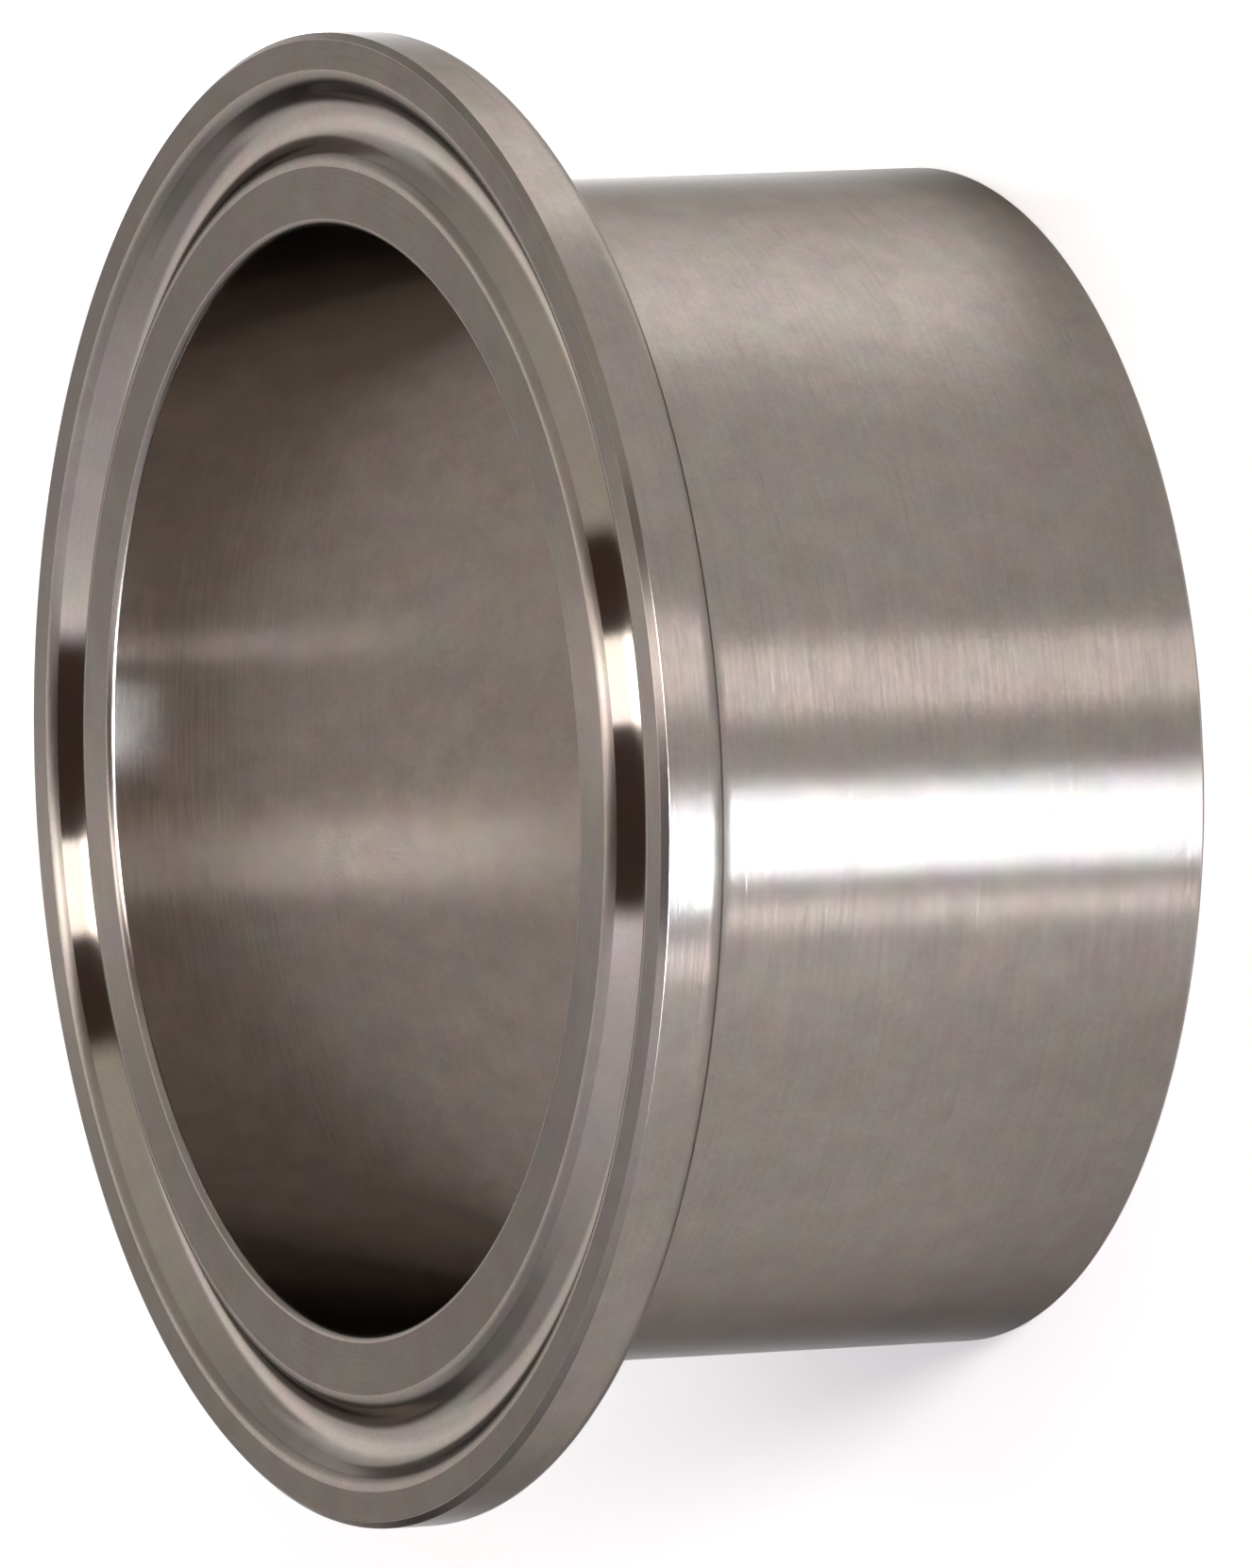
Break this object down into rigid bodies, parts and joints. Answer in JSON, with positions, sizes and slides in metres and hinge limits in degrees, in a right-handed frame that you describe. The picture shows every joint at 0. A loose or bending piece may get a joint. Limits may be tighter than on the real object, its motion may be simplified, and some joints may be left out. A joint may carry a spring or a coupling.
{
  "type": "long weld ferrule",
  "caption": "Turned stainless hygienic clamp ferrule: a plain tube stub to butt weld, with a flange that has a ring gasket groove in its face and a tapered back for the clamp.",
  "frame": {"origin": "on the axis, at the centre of the weld end face, which it stands on", "axes": "+Z along the axis, from the weld end up to the sealing face; X and Y are any two radial directions"},
  "size_m": [0.064, 0.064, 0.0286],
  "materials": {
    "turned_steel": "fine circumferential turning marks, satin, with a brighter gasket groove"
  },
  "bodies": {
    "root": {"ferrule": "turned_steel"}
  },
  "joints": []
}
